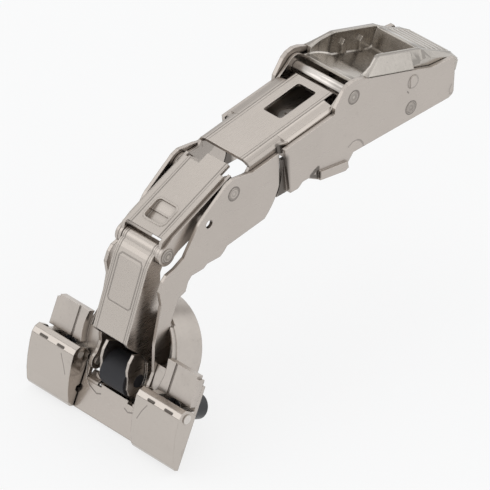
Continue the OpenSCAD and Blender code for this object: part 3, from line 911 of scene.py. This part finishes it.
def slab(name: str, outline: Sequence[Point], low: float, high: float, finish: Finish,
         plane: Plane = Plane.ARM) -> bpy.types.Object:
    """Gives an outline thickness along Y.

    Args:
        name: The piece's name.
        outline: The corners in their plane, in mm.
        low: The lower Y, in mm.
        high: The higher Y, in mm.
        finish: The piece's finish.
        plane: The plane of the outline.

    Returns:
        The new object.
    """
    bm = bmesh.new()
    rows = [[bm.verts.new(in_row(point, y, plane)) for point in outline] for y in (low, high)]
    for i in range(len(outline)):
        j = (i + 1) % len(outline)
        bm.faces.new([rows[0][i], rows[0][j], rows[1][j], rows[1][i]])
    for row in rows:
        bm.faces.new(row)
    return mesh_object(name, bm, finish, smooth=30.0)


def mirrored(end: Sequence[Point]) -> list[Point]:
    """Joins a pin's end, given from its middle out, with the other end."""
    return [(r, -y) for r, y in end] + [(r, y) for r, y in reversed(end)]


def pin_outline(radius: float, reach: float, dish: float, chamfer: float = 0.28) -> list[Point]:
    """Gives the outline of a pin with two chamfered ends.

    Args:
        radius: The pin's radius, in mm.
        reach: Half of its length, in mm.
        dish: The depth of the dimple in each end, in mm.
        chamfer: The width of the chamfer at each end, in mm.

    Returns:
        Pairs of radius and Y.
    """
    return mirrored([
        (0.0, reach - dish), (radius * 0.35, reach - dish), (radius * 0.5, reach - dish * 0.2),
        (radius - chamfer, reach), (radius - chamfer * 0.4, reach - chamfer * 0.35),
        (radius, reach - chamfer)])


def tube(name: str, route: Sequence[Vector], radius: float, finish: Finish, steps: int) -> bpy.types.Object:
    """Sweeps a round section along a route, with narrowed ends.

    Args:
        name: The piece's name.
        route: The route's points, in metres.
        radius: The section's radius, in mm.
        finish: The piece's finish.
        steps: The number of facets round.

    Returns:
        The new object.
    """
    bm = bmesh.new()
    turn = [2 * math.pi * k / steps for k in range(steps)]
    last = len(route) - 1
    rows = []
    for i, place in enumerate(route):
        along = (route[min(i + 1, last)] - route[max(i - 1, 0)]).normalized()
        across = Vector((0, 1, 0)) - along * along.y
        across.normalize()
        third = along.cross(across)
        width = radius * MM * (0.55 if i in (0, last) else 1.0)
        rows.append([bm.verts.new(place + (across * math.cos(t) + third * math.sin(t)) * width)
                     for t in turn])
    for low, high in zip(rows, rows[1:]):
        for k in range(steps):
            j = (k + 1) % steps
            bm.faces.new([low[k], low[j], high[j], high[k]])
    bm.faces.new(rows[0])
    bm.faces.new(list(reversed(rows[-1])))
    return mesh_object(name, bm, finish, smooth=50.0)


def dress(finish: Finish, *nodes: str) -> None:
    """Gives CAD nodes a finish on their own material slots.

    Args:
        finish: The finish.
        nodes: The nodes' names.
    """
    for name in nodes:
        node = frame["nodes"][name]
        if not node.material_slots:
            node.data.materials.append(finish.material())
        for slot in node.material_slots:
            slot.material = finish.material()
        LOG.info("%s dressed in %s", name, finish.name)


# Sub-assemblies


class Section(NamedTuple):
    """A section of the clip lever, in mm.

    Attributes:
        along: Its place up the slope, from above the clip rivet.
        top: The top's height.
        top_half: The top's half width.
        foot_half: The half width at the walls' foot.
        foot: The height of the walls' foot.
        inner: The recess's half width.
        floor: The height of the recess's floor.
    """

    along: float
    top: float
    top_half: float
    foot_half: float
    foot: float
    inner: float
    floor: float

    def ring(self, cheek: float, deck: float) -> list[Point]:
        """Draws the section's closed outline.

        Args:
            cheek: The half width inside the arm.
            deck: Where the casting turns into its thin deck, along the slope.

        Returns:
            Pairs of Y and height.
        """
        ledge = min(0.12, self.foot - 0.05)
        thin = self.along > deck
        base = -3.0 if thin else min(-3.4, self.floor - 0.8)
        half = [(cheek, base), (cheek, ledge), (self.foot_half, ledge), (self.foot_half, self.foot),
                (self.top_half + 0.3, self.top - 0.2), (self.top_half - 0.1, self.top),
                (self.inner + 0.3, self.top), (self.inner, min(self.top - 0.25, self.floor + 8)),
                (self.inner - 0.05, min(self.floor + 0.5, self.top - 0.25)), (self.inner - 0.5, self.floor)]
        if thin:
            half = [(min(y, self.foot_half), z) for y, z in half]
        return half + [(0.0, self.floor)] + [(-y, z) for y, z in reversed(half)]


# The clip lever's cheek, and the two ribs in its recess
CLIP_LUG = ((-43.6, -8.4), (-34.5, -5.6), (-26, -3.6), (-7.4, 1.8), (-6.6, -1.4), (-20, -7.5), (-21.2, -13.6),
            (-23.2, -18.6), (-25.3, -19.8), (-27.6, -19.2), (-29.6, -16.0), (-31, -12.5), (-41, -12))
REAR_WEB = ((-26.8, -1.0), (-25.8, 0.4), (-24.6, -1.0), (-24.6, -4.6), (-26.6, -4.9))
FRONT_WEB = ((-18.8, 1.4), (-17.8, 2.9), (-16.6, 1.4), (-16.6, -1.9), (-18.6, -2.3))


@dataclass
class Arm:
    """The clip-on arm with its pin, rivet, spring, clip lever and adjusting screws."""

    half: float = 13.5
    pin_radius: float = 2.0
    rivet_radius: float = 1.8
    coil_radius: float = 2.8
    coil_half: float = 4.9
    coil_turns: float = 5.0
    coil_steps: int = 20
    wire: float = 0.95
    cheek: float = 11.92
    deck: float = 21.15
    wall: float = 11.94
    ribs: int = 5

    def pins(self) -> None:
        """Turns the arm pin and the clip rivet."""
        for node, centre, radius, finish in (("arm_pin", (0.0, 0.0), self.pin_radius, ARM_PIN),
                                             ("clip_rivet", CLIP_RIVET, self.rivet_radius, CLIP_PIN)):
            piece = turned(f"{node}_turned", centre, pin_outline(radius, self.half + 0.1, 0.12), finish)
            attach(piece, "arm")
            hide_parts(node)

    def spring(self) -> None:
        """Winds the clip spring round its rivet."""
        route = []
        for i in range(int(self.coil_turns * self.coil_steps) + 1):
            t = i / self.coil_steps
            angle = 2 * math.pi * t
            place = (CLIP_RIVET[0] + self.coil_radius * math.cos(angle),
                     CLIP_RIVET[1] + self.coil_radius * math.sin(angle))
            route.append(in_row(place, -self.coil_half + 2 * self.coil_half * t / self.coil_turns))
        piece = tube("clip_spring_wound", route, self.wire, SPRING, steps=10)
        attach(piece, "arm")
        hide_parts("clip_spring")

    def clip_sections(self) -> list[Section]:
        """Lists the clip lever's sections: the thumb pad's end and ribs, the recess, and the deck.

        Returns:
            The sections, up the slope.
        """
        sections = [Section(-22.9, 0.4, 8.6, 11.6, 0.1, 7.6, 0.4),
                    Section(-22.5, 1.5, 8.8, 11.8, 0.7, 8.0, 1.5)]
        for rib in range(self.ribs):
            start = -21.2 + 2.6 * rib
            for step, sink in ((0.0, 0.0), (0.35, 0.55), (1.0, 0.55), (1.35, 0.0)):
                place = start + step
                share = (place + 22.5) / 16.0
                height = 1.6 + 3.0 * share
                foot = height - 1.6 * share - 0.4
                sections.append(Section(place, height, 9.0 + 0.9 * share, self.wall, foot, 8.3 + 0.3 * share,
                                        height - sink))
        return sections + [Section(*values) for values in (
            (-6.8, 4.75, 9.9, self.wall, 2.6, 8.6, 4.65), (-5.9, 5.05, 9.95, self.wall, 2.4, 8.6, 4.4),
            (-5.2, 5.2, 10.0, self.wall, 2.2, 8.6, -1.9), (-3.8, 5.2, 10.0, self.wall, 1.8, 8.6, -2.6),
            (-0.8, 5.2, 10.0, self.wall, 1.0, 8.6, -2.6), (-0.5, 5.2, 10.0, 13.25, 0.3, 8.6, -2.6),
            (13.4, 5.2, 10.0, 13.3, 0.3, 8.6, -2.4), (14.3, 5.0, 10.1, 13.3, 0.3, 8.7, -2.1),
            (15.6, 4.1, 10.6, 13.3, 0.3, 9.3, -1.9), (17.8, 2.5, 11.6, 13.3, 0.3, 10.2, -1.85),
            (19.8, 1.1, 12.5, 13.3, 0.28, 10.4, -1.8), (21.1, 0.32, 13.1, 13.3, 0.2, 10.4, -1.8),
            (21.2, -1.75, 11.1, 11.5, -2.0, 10.5, -1.8), (23.2, -1.85, 11.0, 11.3, -2.1, 10.4, -1.9))]

    def clip(self) -> None:
        """Builds the cast clip lever: a ribbed pad, an open recess between leaning walls, and a deck."""
        bm = bmesh.new()
        rows = [[bm.verts.new(in_row(down_slope(CLIP_DECK, -CLIP_RISE, section.along, z), y))
                 for y, z in section.ring(self.cheek, self.deck)]
                for section in self.clip_sections()]
        for low, high in zip(rows, rows[1:]):
            for k in range(len(low)):
                j = (k + 1) % len(low)
                bm.faces.new([low[k], low[j], high[j], high[k]])
        bm.faces.new(rows[0])
        bm.faces.new(rows[-1])
        piece = mesh_object("clip_lever_cast", bm, CAST, smooth=28.0)
        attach(piece, "clip_lever")
        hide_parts("clip_lever")

    def clip_details(self) -> None:
        """Adds the clip lever's cheeks, and the ribs in its recess."""
        for side in Side:
            for name, outline, low, high in (("lug", CLIP_LUG, 10.7, 11.9), ("rear_web", REAR_WEB, 7.7, 8.65),
                                             ("front_web", FRONT_WEB, 7.7, 8.65)):
                ends = sorted((side.value * low, side.value * high))
                part = slab(f"clip_{name}_{side.name.lower()}", outline, ends[0], ends[1], CAST)
                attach(part, "clip_lever")

    def dress(self) -> None:
        """Gives the arm's CAD nodes their finishes."""
        dress(ARM_SHEET, "arm")
        dress(BRIGHT, "depth_screw", "side_screw")

    def build(self) -> None:
        """Builds and dresses the sub-assembly."""
        self.pins()
        self.spring()
        self.clip()
        self.clip_details()
        self.dress()


@dataclass
class Levers:
    """The rear lever, the two long levers and their rivet, and the front lever with its pin."""

    rivet_radius: float = 2.0
    rivet_reach: float = 12.15
    front_radius: float = 1.8
    head_radius: float = 2.5
    plate_out: float = 9.5

    def rivets(self) -> None:
        """Turns the middle rivet and the front pin with its two heads."""
        outline = pin_outline(self.rivet_radius, self.rivet_reach, 0.1)
        piece = turned("middle_rivet_turned", (0.0, 0.0), outline, RIVET, Plane.FRONT_LEVER)
        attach(piece, "long_lever")
        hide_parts("middle_rivet")
        reach = self.plate_out + 0.5
        outline = mirrored([
            (0.0, reach - 0.1), (1.0, reach - 0.1), (1.25, reach), (1.85, reach), (2.3, reach - 0.12),
            (self.head_radius, reach - 0.3), (self.head_radius, self.plate_out),
            (self.front_radius, self.plate_out)])
        piece = turned("front_pin_turned", (FRONT_LENGTH, 0.0), outline, FRONT_PIN, Plane.FRONT_LEVER)
        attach(piece, "front_lever")
        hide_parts("front_pin")

    def dress(self) -> None:
        """Gives the levers' CAD nodes their finishes."""
        dress(REAR_SHEET, "rear_lever")
        dress(COVER_SHEET, "front_cover")
        dress(LONG_SHEET, "long_lever_left", "long_lever_right")
        dress(SATIN, "front_plate_left", "front_plate_right")

    def build(self) -> None:
        """Builds and dresses the sub-assembly."""
        self.rivets()
        self.dress()


@dataclass
class CupSide:
    """The cup link, the cup with its damper, the flange with its flaps, and the dowels."""

    apron_in: float = 7.5
    apron_out: float = 12.3

    def dress(self) -> None:
        """Gives the CAD nodes of this side their finishes."""
        dress(LINK_SHEET, "cup_link")
        dress(BRIGHT, "link_pin_left", "link_pin_right", "cup_pin_left", "cup_pin_right", "flap_rivet_left",
              "flap_rivet_right")
        dress(CAST_PALE, "cup", "block_left", "block_right")
        dress(PLATE_SHEET, "flange_plate")
        dress(FLAP_SHEET, "flap_left", "flap_right")
        dress(SATIN, "damper_bracket")
        dress(BLACK, "damper_body", "damper_slide")
        dress(DOWEL, "dowel_left", "dowel_right")

    def aprons(self) -> None:
        """Closes the corners of the flange's notch with the sheet that turns down into the cup."""
        outline = ((-7.6, 0.15), (-6.5, 0.3), (-5.4, 1.75), (-4.2, 2.7),
                   (-4.2, 3.4), (-5.8, 2.5), (-6.8, 1.3), (-7.6, 1.2))
        for side in Side:
            ends = sorted((side.value * self.apron_in, side.value * self.apron_out))
            piece = slab(f"notch_apron_{side.name.lower()}", outline, ends[0], ends[1], SATIN, Plane.FLANGE)
            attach(piece, "cup")

    def build(self) -> None:
        """Builds and dresses the sub-assembly."""
        self.aprons()
        self.dress()


# Studio


@dataclass
class Lamp:
    """One soft area lamp, aimed at the hinge."""

    name: str
    towards: tuple[float, float, float]
    distance: float
    size: tuple[float, float]
    radiance: float

    def build(self, aim: Vector) -> None:
        """Hangs the lamp.

        Args:
            aim: The place that the lamp faces.
        """
        light = bpy.data.lights.new(self.name, "AREA")
        light.shape = "RECTANGLE"
        light.size, light.size_y = self.size
        light.energy = self.radiance * math.pi * self.size[0] * self.size[1]
        lamp = bpy.data.objects.new(self.name, light)
        direction = Vector(self.towards).normalized()
        lamp.location = aim + direction * self.distance
        lamp.rotation_euler = (-direction).to_track_quat("-Z", "Y").to_euler()
        bpy.context.scene.collection.objects.link(lamp)


@dataclass
class Studio:
    """The pale floor, the white surroundings, the lamps and the camera."""

    centre: tuple[float, float, float] = (36.9, 3.9, -20.9)
    view_width: float = 148.5
    azimuth: float = 135.0
    elevation: float = 35.264
    lens: float = 400.0
    sensor: float = 36.0
    level: float = 0.8
    daylight: Colour = (0.97, 0.985, 1.0)
    floor_half: float = 6.0
    floor_gap: float = 0.4
    floor_white: float = 0.75
    lamps: list[Lamp] = field(default_factory=lambda: [
        Lamp("key", (-0.55, 0.62, 0.56), 0.7, (0.6, 0.5), 0.45),
        Lamp("fill", (0.62, -0.5, 0.6), 0.8, (0.5, 0.4), 0.5),
        Lamp("top", (-0.2, -0.3, 1.0), 0.8, (0.4, 0.4), 0.7),
    ])

    def seen(self, board: Board) -> Scalar:
        """Finds the rays that show the surroundings as white.

        Args:
            board: The material's or the world's board.

        Returns:
            1 for a ray from the camera, a reflection or a clear material, and 0 for any other.
        """
        path = board.node("ShaderNodeLightPath")
        camera, glossy, clear = (Scalar(board, path.outputs[f"Is {kind} Ray"])
                                 for kind in ("Camera", "Glossy", "Transmission"))
        return camera.most(glossy).most(clear)

    def world(self) -> None:
        """Lights the hinge from all round at a plain level; what is seen is white."""
        scene = bpy.context.scene
        scene.world = bpy.data.worlds.new("white_studio")
        scene.world.use_nodes = True
        board = Board(scene.world.node_tree)
        seen = self.seen(board)
        plain = board.node("ShaderNodeBackground", None, {
            "Color": (*self.daylight, 1.0), "Strength": self.level})
        white = board.node("ShaderNodeBackground", None, {"Color": (1.0, 1.0, 1.0, 1.0), "Strength": 1.0})
        mixed = board.node("ShaderNodeMixShader", None, {0: seen, 1: plain.outputs[0], 2: white.outputs[0]})
        board.node("ShaderNodeOutputWorld", None, {"Surface": mixed.outputs[0]})

    def floor(self, low: float) -> None:
        """Lays the pale floor under the hinge.

        Args:
            low: The hinge's lowest point, in metres.
        """
        bm = bmesh.new()
        bmesh.ops.create_grid(bm, x_segments=8, y_segments=8, size=self.floor_half)
        bmesh.ops.translate(bm, verts=bm.verts, vec=(0.0, 0.0, low - self.floor_gap * MM))
        data = bpy.data.meshes.new("studio_floor")
        bm.to_mesh(data)
        bm.free()
        floor = bpy.data.objects.new("studio_floor", data)
        bpy.context.scene.collection.objects.link(floor)
        made = bpy.data.materials.new("pale_floor")
        made.use_nodes = True
        board = Board(made.node_tree)
        haze = board.noise((0.004, 0.004, 0.004), 2.0)
        tint = board.mix(haze * 0.2, (0.93, 0.93, 0.93), (0.9, 0.9, 0.905))
        matt = board.node("ShaderNodeBsdfDiffuse", None, {"Color": tint})
        white = board.node("ShaderNodeEmission", None, {"Color": (1.0, 1.0, 1.0, 1.0), "Strength": 1.0})
        share = self.seen(board) * self.floor_white
        mixed = board.node("ShaderNodeMixShader", None, {0: share, 1: matt.outputs[0], 2: white.outputs[0]})
        board.node("ShaderNodeOutputMaterial", None, {"Surface": mixed.outputs[0]})
        data.materials.append(made)

    def camera(self) -> None:
        """Sets the camera at the photograph's angle."""
        scene = bpy.context.scene
        data = bpy.data.cameras.new("photo_camera")
        data.lens = self.lens
        data.sensor_width = self.sensor
        data.clip_end = 50.0
        camera = bpy.data.objects.new("photo_camera", data)
        a, e = math.radians(self.azimuth), math.radians(self.elevation)
        back = Vector((math.sin(a) * math.cos(e), -math.cos(a) * math.cos(e), math.sin(e)))
        camera.location = Vector(self.centre) * MM + back * (self.view_width * MM * self.lens / self.sensor)
        camera.rotation_euler = back.to_track_quat("Z", "Y").to_euler()
        scene.collection.objects.link(camera)
        scene.camera = camera

    def build(self) -> None:
        """Builds the studio."""
        bpy.context.scene.view_settings.view_transform = "Standard"
        self.world()
        self.floor(CAD_BOX[0][2])
        aim = Vector(self.centre) * MM
        for lamp in self.lamps:
            lamp.build(aim)
        self.camera()


def main() -> None:
    """Builds every class and reports each piece."""
    logging.basicConfig(level=logging.INFO, format="%(name)s: %(message)s")
    for part in (Studio(), Arm(), Levers(), CupSide()):
        known = set(bpy.data.objects.keys())
        part.build()
        for name in sorted(set(bpy.data.objects.keys()) - known):
            LOG.info("%s built by %s", name, type(part).__name__)


if __name__ == "__main__":
    main()
